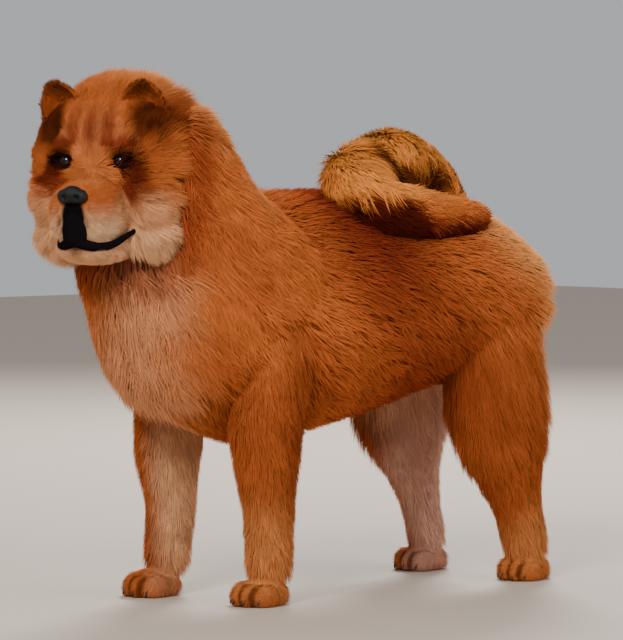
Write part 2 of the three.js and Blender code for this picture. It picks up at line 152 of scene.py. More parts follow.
class Form:
    """A rounded form drawn through stations [x, y, z, half width, above, below, coat]."""

    def __init__(self, name, stations, lie, cap=0.1, square=1.0, home=DOG, least=8, most=40, fan=0.0):
        self.name, self.lie, self.home = name, lie, home
        self.cap = cap  # the share of the length over which an end rounds off
        self.square = square  # under 1 for a squarer section
        rows = [list(row) + [0] * (7 - len(row)) for row in stations]
        self.rows = np.array(rows, float)
        self.least, self.most = least, most  # the shortest and the longest coat that the form carries
        self.fan = fan  # how far the coat fans out from the form's middle

    def depth(self, t):
        return np.clip(curve(self.rows[:, 6:], t)[:, 0], self.least, self.most)

    def frames(self, t):
        """The directions along the form, to its side and up."""
        step = 1e-3
        low, high = np.clip(t - step, 0, 1), np.clip(t + step, 0, 1)
        along = unit(curve(self.rows[:, :3], high) - curve(self.rows[:, :3], low))
        side = unit(np.array([1.0, 0, 0]) - along * along[:, :1])
        return along, side, np.cross(side, along)

    def closing(self, t):
        """The share of the full girth, drawn in to nothing at both ends."""
        near = np.clip(np.minimum(t, 1 - t) / self.cap, 0, 1)
        return np.sqrt(1 - (1 - near) ** 2)

    def section(self, c, s, girth):
        """The outline across the form, as shares along its side and up."""
        rounded = [np.sign(v) * np.abs(v) ** self.square for v in (c, s)]
        height = np.where(s > 0, girth[:, 1], girth[:, 2])
        return rounded[0] * girth[:, 0], rounded[1] * height

    def at(self, t, angle, lift):
        """Points of the outline, lifted off the form's core."""
        along, side, up = self.frames(t)
        girth = curve(self.rows[:, 3:6], t)
        c, s = np.cos(angle), np.sin(angle)
        across, high = self.section(c, s, girth)
        out = unit(np.stack([c / girth[:, 0], s / np.where(s > 0, girth[:, 1], girth[:, 2])], 1))
        shut = self.closing(t)
        across = across * shut + out[:, 0] * lift
        high = high * shut + out[:, 1] * lift
        middle = curve(self.rows[:, :3], t)
        return self.home.out(middle + side * across[:, None] + up * high[:, None])

    def grid(self, rings, sides):
        """Rings of even sides, closer together towards the ends."""
        share = (np.arange(rings) + 0.5) / rings
        t = share - CLOSER_AT_ENDS * np.sin(2 * np.pi * share) / (2 * np.pi)
        angle = np.arange(sides) / sides * 2 * np.pi
        return [v.ravel() for v in np.meshgrid(t, angle, indexing="ij")]

    def skin_lift(self, t):
        """The skin's height over the core's outline: below it where the solid has no coat."""
        return (curve(self.rows[:, 6:], t)[:, 0] - self.depth(t)) * self.closing(t)

    def mesh(self, rings=56, sides=48):
        t, angle = self.grid(rings, sides)
        points = self.at(t, angle, self.skin_lift(t))
        ends = self.at(np.array([0.0, 1.0]), np.zeros(2), np.zeros(2))
        return tube_mesh(points, ends, rings, sides)

    def lies(self, t, angle):
        """The way the coat lies, in the dog's frame."""
        along, side, up = self.frames(t)
        out = side * np.cos(angle)[:, None] + up * np.sin(angle)[:, None]
        if self.lie == "along":
            way = along + out * self.fan
        else:
            rim = smooth(0.3, 0.0, t)[:, None] * self.fan
            way = np.array(self.lie, float) + out * rim
        return self.home.turned_out(way)


class Ear(Form):
    """A cupped ear: the outline is a crescent, hollow in front."""

    WALL = 6.0

    def section(self, c, s, girth):
        arch = np.sqrt(np.clip(1 - c * c, 0, 1))
        bow = girth[:, 2] * arch
        return c * girth[:, 0], np.where(s > 0, self.WALL * arch - bow, -bow)


class Ball(Form):
    """An ellipsoid, as a form."""

    def __init__(self, name, place, half, lie, home=DOG, least=6):
        inner = Home(0.0, place, 1, home)
        stations = [(0, -half[1], 0, *half[::2], half[2]), (0, half[1], 0, *half[::2], half[2])]
        super().__init__(name, stations, lie, cap=0.5, home=inner, least=least)


def tube_mesh(points, ends, rings, sides):
    """Vertices and faces of a closed tube with its two end points."""
    index = np.arange(rings * sides).reshape(rings, sides)
    nxt = np.roll(index, -1, axis=1)
    quads = np.stack([index[:-1], nxt[:-1], nxt[1:], index[1:]], -1).reshape(-1, 4)
    first, last = rings * sides, rings * sides + 1
    start = [(first, b, a) for a, b in zip(index[0], nxt[0])]
    stop = [(last, a, b) for a, b in zip(index[-1], nxt[-1])]
    return np.vstack([points, ends]), [tuple(q) for q in quads] + start + stop


# Forms of the body, with the columns x, y, z, half width, above, below, coat, as in the solids
BACK_AND_DOWN = (0, 0.8, -0.6)
TRUNK = Form("trunk", [
    (0, -95, 372, 104, 96, 92, 12),
    (0, -30, 362, 124, 136, 122, 14),
    (0, 45, 358, 134, 156, 140, 18),
    (0, 130, 364, 137, 153, 130, 20),
    (0, 220, 375, 138, 142, 122, 20),
    (0, 320, 385, 135, 130, 108, 20),
    (0, 410, 388, 130, 109, 100, 22),
    (0, 475, 386, 112, 70, 104, 26),
    (0, 512, 383, 92, 36, 104, 28),
], BACK_AND_DOWN, cap=0.12, least=12, most=15)
MANE = Form("mane", [
    (6, -152, 630, 84, 50, 92, 15),
    (4, -112, 584, 100, 60, 116, 20),
    (0, -60, 516, 116, 48, 142, 24),
    (0, 0, 448, 126, 62, 180, 26),
    (0, 58, 386, 128, 84, 194, 28),
], (0, 0.6, -0.8), cap=0.16, most=18, fan=1.5)
SKULL = Form("skull", [
    (0, -12, -6, 70, 42, 58, 0),
    (0, 16, 0, 88, 66, 80, 4),
    (0, 50, 8, 92, 84, 84, 12),
    (0, 90, 12, 86, 84, 76, 20),
    (0, 128, 8, 72, 72, 66, 22),
], (0, 0.5, 0.25), cap=0.22, square=0.94, home=HEAD, least=5, most=15, fan=0.9)
MUZZLE = Form("muzzle", [
    (0, -61, -66, 35, 29, 36),
    (0, -38, -64, 43, 34, 42),
    (0, -6, -60, 51, 40, 44),
    (0, 40, -52, 58, 48, 42),
], (0, 1, -0.15), cap=0.2, square=0.8, home=HEAD, least=3)
JAW = Form("jaw", [
    (0, -53, -106, 27, 18, 13),
    (0, -30, -109, 36, 22, 17),
    (0, 0, -109, 46, 24, 22),
    (0, 42, -100, 56, 30, 26),
], (0, 1, -0.4), cap=0.22, square=0.85, home=HEAD, least=4)
EAR_STATIONS = [
    (-4, 12, -42, 42, 14, 20, 0),
    (0, 4, -10, 42, 14, 19, 0),
    (3, -8, 20, 32, 10, 15, 0),
    (5, -20, 47, 13, 4, 6, 0),
]
TAIL_ROOT = Form("tail_root", [
    (0, 430, 448, 26, 30, 28, 0),
    (0, 426, 482, 27, 26, 26, 6),
    (2, 402, 512, 30, 24, 27, 16),
    (8, 358, 534, 34, 26, 28, 28),
    (16, 304, 552, 36, 28, 28, 36),
    (26, 256, 552, 36, 28, 28, 34),
], "along", cap=0.12, most=17, fan=0.2)
TAIL_TIP = Form("tail_tip", [
    (28, 238, 550, 28, 22, 28, 30),
    (54, 204, 540, 26, 18, 28, 28),
    (84, 196, 524, 24, 16, 26, 26),
    (106, 226, 508, 22, 18, 22, 24),
    (110, 280, 498, 20, 22, 18, 18),
    (104, 334, 495, 18, 20, 15, 14),
    (95, 376, 495, 13, 13, 10, 10),
    (86, 406, 496, 5, 5, 5, 4),
], "along", cap=0.1, most=15, fan=0.15)

# Painted shade in the crease of the plume, above the length that comes back round the curl
TAIL_CREASE_SHADE = np.linspace((58, 226, 575), (68, 368, 529), 12)
PLUME_FALL = unit(np.array([0.55, 0.5, -0.6]))
PLUME_FALL_SHARE = 0.6


def plume_lie(names, t, way):
    """Along the tail, but falling outwards round the front of its curl."""
    root, tip = names == "tail_root", names == "tail_tip"
    share = np.where(root, smooth(0.6, 0.92, t), np.where(tip, smooth(0.5, 0.22, t), 0.0))
    return mix(unit(way), PLUME_FALL, share[:, None] * PLUME_FALL_SHARE)


def front_leg(side, step):
    """A front leg, with its paw set back by the step."""
    x = side * FRONT_HALF_TRACK
    return Form("front_leg", [
        (side * 84, 22, 400, 46, 62, 60),
        (side * 92, 12, 320, 52, 60, 62),
        (side * 94, 4, 250, 50, 54, 56),
        (side * 92, 6 + step * 0.5, 190, 45, 48, 48),
        (x, 10 + step * 0.6, 130, 37, 39, 38),
        (x, 12 + step * 0.8, 80, 34, 35, 35),
        (x, 10 + step, 26, 33, 34, 34),
    ], (0, 0.15, -1), least=6)


def hind_leg(side, step, girth):
    """A hind leg, with its paw set by the step and its hock thickened by the girth."""
    x = side * HIND_HALF_TRACK
    return Form("hind_leg", [
        (side * 80, 392, 400, 58, 80, 84, 14),
        (side * 86, 408, 305, 54, 80, 76, 14),
        (x, 422 + step * 0.3, 225, 47, 72, 68, 12),
        (x, 440 + step * 0.5, 160, 40 * girth, 56 * girth, 54 * girth, 5),
        (x, 456 + step * 0.7, 110, 34 * girth, 44 * girth, 42 * girth, 0),
        (x, 470 + step * 0.9, 66, 31 * girth, 38 * girth, 38 * girth, 0),
        (x, 478 + step, 24, 31 * girth, 36 * girth, 36 * girth, 0),
    ], (0, 0.3, -1), least=6)


TOES = [(-25, 14, 13), (-9.5, 24, 14), (9.5, 24, 14), (25, 14, 13)]  # across, ahead, size
TOE_GAPS = np.array([-17.5, 0.0, 17.5])
PAWS = {  # place on the floor, turn, scale
    "front_left": ((FRONT_HALF_TRACK, 0), 0.06, 1.0),
    "front_right": ((-FRONT_HALF_TRACK, -31), -0.06, 1.0),
    "hind_left": ((HIND_HALF_TRACK, 476), 0.1, 0.96),
    "hind_right": ((-HIND_HALF_TRACK, 460), -0.1, 0.96),
}


def paw_home(name):
    (x, y), turn, _ = PAWS[name]
    return Home(turn, (x, y, 0))


def paw_forms(name):
    """The pad and the toes of a paw; the toes stand a little proud of the pad."""
    scale = PAWS[name][2]
    home = paw_home(name)
    down = (0, -0.5, -1)
    pad = Ball("paw", (0, 4, 13), (32 * scale, 34 * scale, 30), down, home, least=4)
    toes = []
    for across, ahead, size in TOES:
        half = (size * 0.88 * scale, size * 1.45 * scale, 22)
        toes.append(Ball("paw", (across * scale, -ahead * scale, 12), half, down, home, least=2.5))
    return [pad, *toes]


CHEEKS = [
    Ball("cheek", (side * 54, 42, -42), (46, 52, 56), (side * 0.8, 1, -0.5), HEAD, least=9)
    for side in BOTH_SIDES
]
FLEWS = [
    Ball("lobe", (side * 56, 58, -80), (48, 52, 52), (side * 0.55, 0.5, -1), HEAD, least=13)
    for side in BOTH_SIDES
]
BEARD = Ball("lobe", (0, 34, -92), (62, 62, 40), (0, 0.5, -1), HEAD, least=13)
BROWS = [
    Ball("brow", (side * 20, -5, 21), (14, 10, 12), (side * 0.3, 0.6, 1), HEAD, least=4)
    for side in BOTH_SIDES
]
EAR_FORMS = [Ear("ear", EAR_STATIONS, "along", cap=0.16, home=home, least=4, fan=0.2) for home in EARS]
BODY_FORMS = [
    TRUNK, MANE, TAIL_ROOT, TAIL_TIP,
    front_leg(1, 0), front_leg(-1, -22), hind_leg(1, 0, 1), hind_leg(-1, -8, 0.86),
    *(form for name in PAWS for form in paw_forms(name)),
]
HEAD_FORMS = [SKULL, MUZZLE, JAW, *CHEEKS, *FLEWS, BEARD, *BROWS, *EAR_FORMS]

# Meshes


def new_object(name, mesh):
    piece = bpy.data.objects.new(name, mesh)
    bpy.context.scene.collection.objects.link(piece)
    return piece


def raw_mesh(name, parts):
    """One mesh of several (vertices, faces) pairs."""
    points, faces, start = [], [], 0
    for vertices, polygons in parts:
        points.append(vertices)
        faces += [tuple(int(i) + start for i in polygon) for polygon in polygons]
        start += len(vertices)
    mesh = bpy.data.meshes.new(name)
    mesh.from_pydata(np.vstack(points) * MM, [], faces)
    return mesh


def fused(name, parts, voxel):
    """The outer surface of several closed forms as one mesh of even faces."""
    piece = new_object(name, raw_mesh(name, parts))
    remesh = piece.modifiers.new("fuse", "REMESH")
    remesh.mode = "VOXEL"
    remesh.voxel_size = voxel * MM
    depsgraph = bpy.context.evaluated_depsgraph_get()
    mesh = bpy.data.meshes.new_from_object(piece.evaluated_get(depsgraph))
    bpy.data.objects.remove(piece)
    return mesh


def points_of(mesh):
    found = np.empty(len(mesh.vertices) * 3, np.float32)
    mesh.vertices.foreach_get("co", found)
    return found.reshape(-1, 3).astype(float)


def normals_of(mesh):
    found = np.empty(len(mesh.vertices) * 3, np.float32)
    mesh.vertex_normals.foreach_get("vector", found)
    return found.reshape(-1, 3).astype(float)


def set_points(mesh, points):
    mesh.vertices.foreach_set("co", points.astype(np.float32).ravel())
    mesh.update()


def evened(mesh, values, rounds):
    """Values at the vertices, averaged with those of their neighbours."""
    edges = np.empty(len(mesh.edges) * 2, np.int32)
    mesh.edges.foreach_get("vertices", edges)
    a, b = edges.reshape(-1, 2).T
    count = np.bincount(edges, minlength=len(values)).astype(float)[:, None]
    for _ in range(rounds):
        total = np.stack([
            np.bincount(a, column[b], len(values)) + np.bincount(b, column[a], len(values))
            for column in values.T
        ], 1)
        values = mix(values, total / np.maximum(count, 1), 0.6)
    return values


def ring_tube(path, radius, closed, sides=8):
    """A tube along a path of points, with round or pinched ends."""
    path = np.asarray(path, float)
    radius = np.broadcast_to(radius, len(path))
    ahead = np.roll(path, -1, 0) - np.roll(path, 1, 0)
    if not closed:
        ahead[0], ahead[-1] = path[1] - path[0], path[-1] - path[-2]
    ahead = unit(ahead)
    side = unit(np.cross(ahead, np.array([0.0, 0.3, 1.0])))
    up = np.cross(side, ahead)
    angle = np.arange(sides) / sides * 2 * np.pi
    around = side[:, None] * np.cos(angle)[:, None] + up[:, None] * np.sin(angle)[:, None]
    points = (path[:, None] + around * radius[:, None, None]).reshape(-1, 3)
    if not closed:
        return tube_mesh(points, path[[0, -1]], len(path), sides)
    index = np.arange(len(path) * sides).reshape(len(path), sides)
    nxt = np.roll(index, -1, 1)
    faces = np.stack([index, nxt, np.roll(nxt, -1, 0), np.roll(index, -1, 0)], -1).reshape(-1, 4)
    return points, [tuple(face) for face in faces]


LID_HALF_WIDTH, LID_HALF_HEIGHT = 10.8, 7.0


def lid_height(x, z):
    """How far forward the lids stand where they wrap round the eyeball."""
    return EYE_DEPTH - np.sqrt(np.maximum((EYE_RADIUS + 1.0) ** 2 - x * x - z * z, 4))


def lid_ring(side):
    """The rim of an eye's lids: an almond that wraps round the eyeball."""
    angle = np.arange(36) / 36 * 2 * np.pi
    x = LID_HALF_WIDTH * np.cos(angle)
    z = LID_HALF_HEIGHT * np.sin(angle) * (1 - 0.2 * np.cos(angle) ** 2) + 1.0 * np.cos(angle)
    points = np.stack([x, lid_height(x, z), z], 1)
    return (points + np.array([EYE_HALF_SPACING, 0, 0])) * np.array([side, 1, 1])


LIP_EDGE = np.array([
    (5, -64, -100), (16, -61, -104), (29, -52, -107), (42, -33, -106), (51, -12, -98), (57, 12, -84),
], float)
LIP_LINE = curve(np.vstack([LIP_EDGE[::-1] * np.array([-1, 1, 1]), LIP_EDGE]), np.linspace(0, 1, 60))

BODY_VOXEL, HEAD_VOXEL = 3.6, 1.8
BODY_ROUNDS, FACE_ROUNDS, EAR_ROUNDS = 9, 34, 2  # how much each part of the skin is evened out
OFF_FLOOR = 0.5

body_mesh = fused("body_skin", [form.mesh() for form in BODY_FORMS], BODY_VOXEL)
body_places = evened(body_mesh, points_of(body_mesh), BODY_ROUNDS)
body_places[:, 2] = np.maximum(body_places[:, 2], OFF_FLOOR * MM)
set_points(body_mesh, body_places)

head_mesh = fused("head_skin", [form.mesh() for form in HEAD_FORMS], HEAD_VOXEL)
head_places = points_of(head_mesh)
off_ears = np.min([
    off_middle(home.into(head_places / MM), (0, -6, 20), (34, 26, 42))
    for home in EARS
], axis=0)
face = evened(head_mesh, head_places, FACE_ROUNDS)
ears = evened(head_mesh, head_places, EAR_ROUNDS)
set_points(head_mesh, mix(face, ears, smooth(1.3, 0.9, off_ears)[:, None]))

# Folds and sockets of the face, as pushes in or out: place in the head's frame, half sizes, depth
FOLDS = [
    ((37.5, -4, 4), (24, 18, 19), -4.0),  # sockets
    ((21, 0, 20), (6, 16, 24), -3.0),  # creases of the scowl
    ((0, -8, 30), (5, 14, 28), -4.0),  # furrow up the forehead
    ((33, 4, 23), (22, 16, 6), 3.5),  # pads over the eyes
    ((34, -8, -19), (18, 12, 5), -2.5),  # fold under the eyes
    ((0, -30, -18), (14, 20, 10), -2.5),  # stop
    ((60, 2, 36), (26, 36, 30), -13.0),  # hollow in front of the ear
    ((57, 4, -16), (9, 18, 14), 2.0),  # outer corner of the eye
]


def fold_face(mesh):
    """Press the folds of the face into the head's skin and open it for the eyes."""
    points = points_of(mesh) / MM
    here = HEAD.into(points)
    push = np.zeros(len(points))
    for place, half, depth in FOLDS:
        sides = BOTH_SIDES if place[0] else (1,)
        for side in sides:
            off = off_middle(here, np.array(place) * np.array([side, 1, 1]), half)
            push += np.exp(-2 * off**2) * depth
    here = HEAD.into(points + normals_of(mesh) * push[:, None])
    for side in BOTH_SIDES:
        x, z = here[:, 0] - side * EYE_HALF_SPACING, here[:, 2]
        almond = np.hypot(x / LID_HALF_WIDTH, (z - x * side * 0.1) / LID_HALF_HEIGHT)
        lids = mix(lid_height(x, z), here[:, 1], smooth(1.0, 2.1, almond))
        opened = np.where(almond < 0.96, EYE_DEPTH + 2, lids)
        ahead = (here[:, 1] < 25) & (almond < 2.1)
        here[:, 1] = np.where(ahead, opened, here[:, 1])
    set_points(mesh, HEAD.out(here) * MM)


fold_face(head_mesh)

# The coat's depth and lie, and the place on each form, at any point of the skin


def survey(forms):
    """Samples over the forms: place, lie, depth, and the form's number, t and angle."""
    rows = []
    for number, form in enumerate(forms):
        t, angle = form.grid(64, 48)
        places = form.at(t, angle, form.skin_lift(t))
        depth = form.depth(t)
        rows.append(np.column_stack([
            places, form.lies(t, angle), depth, np.full(len(t), number), t, angle / (2 * np.pi),
        ]))
    return np.vstack(rows)


def nearest(samples, points):
    """The sample nearest to each point."""
    tree = kdtree.KDTree(len(samples))
    for i, place in enumerate(samples[:, :3]):
        tree.insert(place, i)
    tree.balance()
    return samples[[tree.find(point)[1] for point in points]]


TAIL_PARTS = ["tail_root", "tail_tip"]
LEG_PARTS = ["front_leg", "hind_leg"]
HEAD_PARTS = ["skull", "cheek", "lobe"]
MUZZLE_PARTS = ["muzzle", "jaw", "brow"]
BIB_LENGTH = 10.0  # how much longer the mane is in front
PLUME_ROUNDS = 50


class Skin:
    """A mesh with its coat's lie and depth, and where each vertex is on the forms."""

    def __init__(self, mesh, forms, rounds):
        self.mesh, self.forms = mesh, forms
        self.points = points_of(mesh) / MM
        self.normals = normals_of(mesh)
        found = nearest(survey(forms), self.points)
        self.number, self.t, self.turn = found[:, 7].astype(int), found[:, 8], found[:, 9]
        self.names = np.array([forms[n].name for n in self.number])
        way = plume_lie(self.names, self.t, found[:, 3:6])
        lie = way - self.normals * (way * self.normals).sum(1)[:, None]
        even = evened(mesh, np.column_stack([unit(lie), found[:, 6]]), rounds)
        plume = np.isin(self.names, TAIL_PARTS)
        if plume.any():
            even = np.where(plume[:, None], evened(mesh, even, PLUME_ROUNDS), even)
        self.lie, self.depth = even[:, :3], even[:, 3]
        self.depth += BIB_LENGTH * (self.names == "mane") * smooth(0.1, -0.6, self.normals[:, 1])
        mesh.calc_loop_triangles()
        triangles = np.empty(len(mesh.loop_triangles) * 3, np.int32)
        mesh.loop_triangles.foreach_get("vertices", triangles)
        self.triangles = triangles.reshape(-1, 3)


body = Skin(body_mesh, BODY_FORMS, 14)
head = Skin(head_mesh, HEAD_FORMS, 6)


def standing_off(skin, other):
    """How far each point of a skin stands off another skin, negative inside it."""
    near = nearest(np.column_stack([other.points, other.normals]), skin.points)
    off = skin.points - near[:, :3]
    return np.linalg.norm(off, axis=1) * np.sign((off * near[:, 3:6]).sum(1))


body.off_other = standing_off(body, head)
head.off_other = standing_off(head, body)

# The coat is short in the hollow of the ears, and longer and swept back where it meets the mane
HOLLOW_COAT, RUFF_COAT = 3.0, 21.0
for home in EARS:
    hollow = smooth(1.3, 0.7, off_middle(home.into(head.points), (0, -10, 0), (30, 34, 40)))
    head.depth = mix(head.depth, HOLLOW_COAT, hollow)
over_jaw = smooth(-80, -30, HEAD.into(head.points)[:, 2])
ruff = smooth(46, 8, head.off_other) * (head.names != "ear") * over_jaw
head.depth = mix(head.depth, RUFF_COAT, ruff)
swept_back = HEAD.turned_out(np.array([[0, 1.0, -0.25]])) + head.normals * 0.2
head.lie = mix(head.lie, swept_back, ruff[:, None])

# Colours


def colour(code):
    """A linear colour from its hex code."""
    parts = np.array([int(code[i:i + 2], 16) / 255 for i in (0, 2, 4)])
    return np.where(parts <= 0.04045, parts / 12.92, ((parts + 0.055) / 1.055) ** 2.4)


RED = colour("c96a32")
DEEP = colour("742818")
BRIGHT = colour("ea9a58")
GOLD = colour("ee9244")
PALE = colour("e6a97c")
CREAM = colour("f0cba0")
SOOT = colour("34120a")
BLACK = colour("120f12")
PINK = colour("dda890")

# Markings, and on the head painted shade and a painted highlight too: place, half sizes, colour,
# strength, the first ones laid on first
BODY_MARKS = [
    ((0, 160, 450), (200, 130, 130), DEEP, 1.1),  # saddle behind the ruff
    ((0, 250, 340), (200, 180, 140), DEEP, 1.0),  # flanks
    ((90, 40, 270), (70, 70, 110), DEEP, 0.5),  # elbow
    ((0, 250, 240), (150, 180, 40), DEEP, 0.6),  # belly
    ((0, 470, 470), (190, 130, 100), BRIGHT, 1.2),  # croup
    ((0, 530, 370), (190, 100, 210), BRIGHT, 1.5),  # breeches
    ((0, -90, 640), (150, 60, 60), BRIGHT, 0.8),  # crest of the ruff
    ((0, -40, 560), (170, 50, 60), BRIGHT, 0.5),
    ((-20, 390, 280), (80, 120, 70), PALE, 1.0),  # groin
    ((0, -150, 300), (80, 110, 140), PALE, 0.5),  # bib
    ((50, -180, 430), (60, 80, 80), PALE, 0.5),  # throat
    ((52, 10, 120), (28, 60, 170), PALE, 0.6),  # inner sides of the legs
    ((-50, -20, 150), (44, 70, 190), PALE, 0.9),
    ((54, 440, 180), (30, 90, 140), PALE, 0.6),
    ((-60, 440, 160), (50, 100, 200), PINK, 1.3),
    ((94, 478, 60), (60, 60, 80), BRIGHT, 0.5),
    ((90, 0, 70), (60, 60, 100), BRIGHT, 0.5),
]
HEAD_MARKS_AND_PAINTED_LIGHT = [
    ((0, 30, 80), (70, 50, 40), DEEP, 0.15),
    ((0, 120, 76), (120, 80, 70), BRIGHT, 0.9),  # back of the head, lighter as a painted rim highlight
    ((0, -20, 30), (60, 40, 40), PALE, 0.15),  # forehead
    *(((side * 88, 70, -20), (40, 60, 60), BRIGHT, 0.4) for side in BOTH_SIDES),
    *(((side * 84, 60, 50), (40, 40, 44), DEEP, 0.7) for side in BOTH_SIDES),  # painted shade behind the ears
    ((0, -30, -20), (34, 40, 22), BRIGHT, 0.3),  # bridge
    ((0, -20, -84), (68, 62, 35), CREAM, 0.8),  # sides of the muzzle
    *(((side * 60, 10, -62), (40, 50, 34), PALE, 0.7) for side in BOTH_SIDES),
    *(((side * 54, 34, -108), (64, 60, 48), PALE, 1.1) for side in BOTH_SIDES),
    ((0, -20, -124), (80, 90, 30), PALE, 1.1),  # chin
    ((0, -10, 34), (11, 40, 34), DEEP, 0.7),  # painted shade in the creases of the scowl
    *(((side * 22, -6, 32), (10, 34, 36), DEEP, 0.7) for side in BOTH_SIDES),
    *(((side * 34, -4, 18), (24, 30, 9), DEEP, 0.8) for side in BOTH_SIDES),  # painted shade under the brow pads
    *(((side * 45, -8, -20), (18, 24, 22), DEEP, 0.9) for side in BOTH_SIDES),  # painted shade in the fold under the eyes
    *(((side * 46, -6, -15), (13, 20, 16), SOOT, 0.5) for side in BOTH_SIDES),
    *(((side * 38, -6, 0), (18, 22, 13), SOOT, 1.8) for side in BOTH_SIDES),  # dark rims round the eyes, with painted shade in their deep sockets
    *(((side * 38, -6, 0), (13.5, 22, 9.5), BLACK, 1.5) for side in BOTH_SIDES),
    ((0, -64, -76), (17, 26, 36), BLACK, 2.5),  # from the nose to the lips
]


def laid_on(shades, tone, share):
    """Shades with a tone laid over them by a share at each point."""
    return mix(shades, tone, share[:, None])


def marked(shades, points, marks):
    """Shades with the marks laid over them in turn."""
    for place, half, tone, strength in marks:
        cover = smooth(1.25, 0.35, off_middle(points, place, half))
        shades = laid_on(shades, tone, np.minimum(strength * cover, 1))
    return shades


def near_line(points, line, reach):
    """1 on a line, falling to 0 beyond the reach."""
    near = np.min(np.linalg.norm(points[:, None] - line[None], axis=2), axis=1)
    return smooth(reach * 1.6, reach * 0.6, near)


def tail_tones(shades, points, names):
    """Gold on top of the plume, painted shade in its crease and a painted shadow along its lower edge.
    """
    y, z = points[:, 1], points[:, 2]
    plume, tip = np.isin(names, TAIL_PARTS), names == "tail_tip"
    shades = laid_on(shades, GOLD, smooth(490, 545, z) * plume)
    shades = laid_on(shades, RED, tip * smooth(555, 520, z) * smooth(205, 250, y) * 0.6)
    # painted shade in the crease of the plume
    shades = laid_on(shades, mix(DEEP, SOOT, 0.8), near_line(points, TAIL_CREASE_SHADE, 21) * plume * 0.95)
    # Painted shadow along the lower edge of the curl and over its end, where the tail lies on the body
    over_shadow_line = z - mix(530, 497, smooth(188, 245, y))
    under = np.maximum(smooth(12, -10, over_shadow_line), smooth(372, 400, y)) * tip
    shades = laid_on(shades, DEEP, under)
    return laid_on(shades, SOOT, under * smooth(6, -16, over_shadow_line) * 0.8)


def toe_gap_shade(shades, points, names):
    """Painted shade in the gaps between the toes."""
    for name in PAWS:
        near = paw_home(name).into(points) / PAWS[name][2]
        between = smooth(5.0, 1.5, np.min(np.abs(near[:, :1] - TOE_GAPS), axis=1))
        own = (np.hypot(near[:, 0], near[:, 1]) < 60) * (names == "paw")
        shades = laid_on(shades, SOOT, between * smooth(-16, -30, near[:, 1]) * own * 0.75)
    return shades


def body_tones(shades, points, names, off_head):
    legs = np.isin(names, LEG_PARTS) * smooth(360, 250, points[:, 2])
    shades = laid_on(shades, DEEP, legs * 0.3)
    shades = marked(shades, points, BODY_MARKS)
    shades = tail_tones(shades, points, names)
    shades = toe_gap_shade(shades, points, names)
    here = HEAD.into(points)
    # Painted shade in the crease where the mane meets the head
    shade_beside_face = smooth(150, 95, here[:, 1]) * smooth(75, 40, here[:, 2])
    return laid_on(shades, DEEP, shade_beside_face * smooth(30, 6, off_head) * 0.7)


def head_tones(shades, points, names):
    here = HEAD.into(points)
    shades = marked(shades, here, HEAD_MARKS_AND_PAINTED_LIGHT)
    # Painted shade in the hollow of each ear and in the hollow in front of and below it
    for home in EARS:
        near = home.into(points)
        inside = smooth(1.2, 0.6, off_middle(near, (3, -14, 6), (27, 17, 44)))
        before = smooth(1.25, 0.5, off_middle(near, (7, -12, -10), (28, 34, 42)))
        shades = laid_on(shades, SOOT, inside * (names == "ear") * 0.7)
        shades = laid_on(shades, SOOT, before * (names != "ear") * 0.9)
    return laid_on(shades, BLACK, near_line(here, LIP_LINE[::3], 4.6))


# Broad patches of deeper red, as waves across the body
PATCH_WAVES = np.array([[0.021, -0.031], [0.033, 0.013], [0.017, 0.027]])


def tones(skin, points, names, off_other):
    """The coat's colour at points of a skin, with its painted shade and highlight."""
    patches = np.sin(points @ PATCH_WAVES).prod(axis=1)
    shades = laid_on(np.tile(RED, (len(points), 1)), DEEP, 0.14 + 0.14 * patches)
    if skin is body:
        return body_tones(shades, points, names, off_other)
    return head_tones(shades, points, names)


def paint(mesh, shades):
    layer = mesh.color_attributes.new("tone", "FLOAT_COLOR", "POINT")
    opaque = np.column_stack([shades, np.ones(len(shades))])
    layer.data.foreach_set("color", opaque.astype(np.float32).ravel())


# Tufts


def scatter(skin, chosen, count, weight):
    """Roots spread over the chosen triangles of a skin, thicker where the weight is greater."""
    corners = skin.points[skin.triangles]
    area = np.linalg.norm(np.cross(corners[:, 1] - corners[:, 0], corners[:, 2] - corners[:, 0]), axis=1)
    share = area * weight[skin.triangles].mean(1) * chosen[skin.triangles].all(1)
    edges = np.cumsum(share)
    picked = np.searchsorted(edges, (np.arange(count) + rng.random(count)) / count * edges[-1])
    picked = np.minimum(picked, len(share) - 1)
    a, b = rng.random((2, count))
    flip = a + b > 1
    a, b = np.where(flip, 1 - a, a), np.where(flip, 1 - b, b)
    shares = np.stack([1 - a - b, a, b], 1)
    at = skin.triangles[picked]

    def blended(values):
        return (values[at] * shares.reshape(count, 3, *[1] * (values.ndim - 1))).sum(1)

    return at[:, 0], blended


# How the edges of the clumps wander, as waves across the body
CLUMP_WAVES = np.array([[0.11, 0.05, 0.09], [0.07, 0.12, -0.04], [-0.06, 0.08, 0.1]])


def clumps(points, size):
    """The middle of the clump that each point belongs to, and the clump's number."""
    jitter = np.sin(points @ CLUMP_WAVES) * size * 0.45
    cells = np.floor((points + jitter) / size).astype(int)
    _, label = np.unique(cells, axis=0, return_inverse=True)
    label = label.ravel()
    count = np.bincount(label)[:, None]
    middles = np.stack([np.bincount(label, column) for column in points.T], 1) / count
    return middles[label], label


# Shares of the length and of the width below the tip: long coat bends, short coat is straight
BENT = [(0.0, 1.0), (0.45, 0.85)]
STRAIGHT = [(0.0, 1.0)]
ROOT_DEPTH = 2.0
PATCH = 0.003
CROWN = 698.0  # no hair stands higher
SOFTNESS = 0.65  # how far the tufts are shaded like the skin they stand on
ROOT_SHADE, TIP_LIGHT = 0.8, 0.27


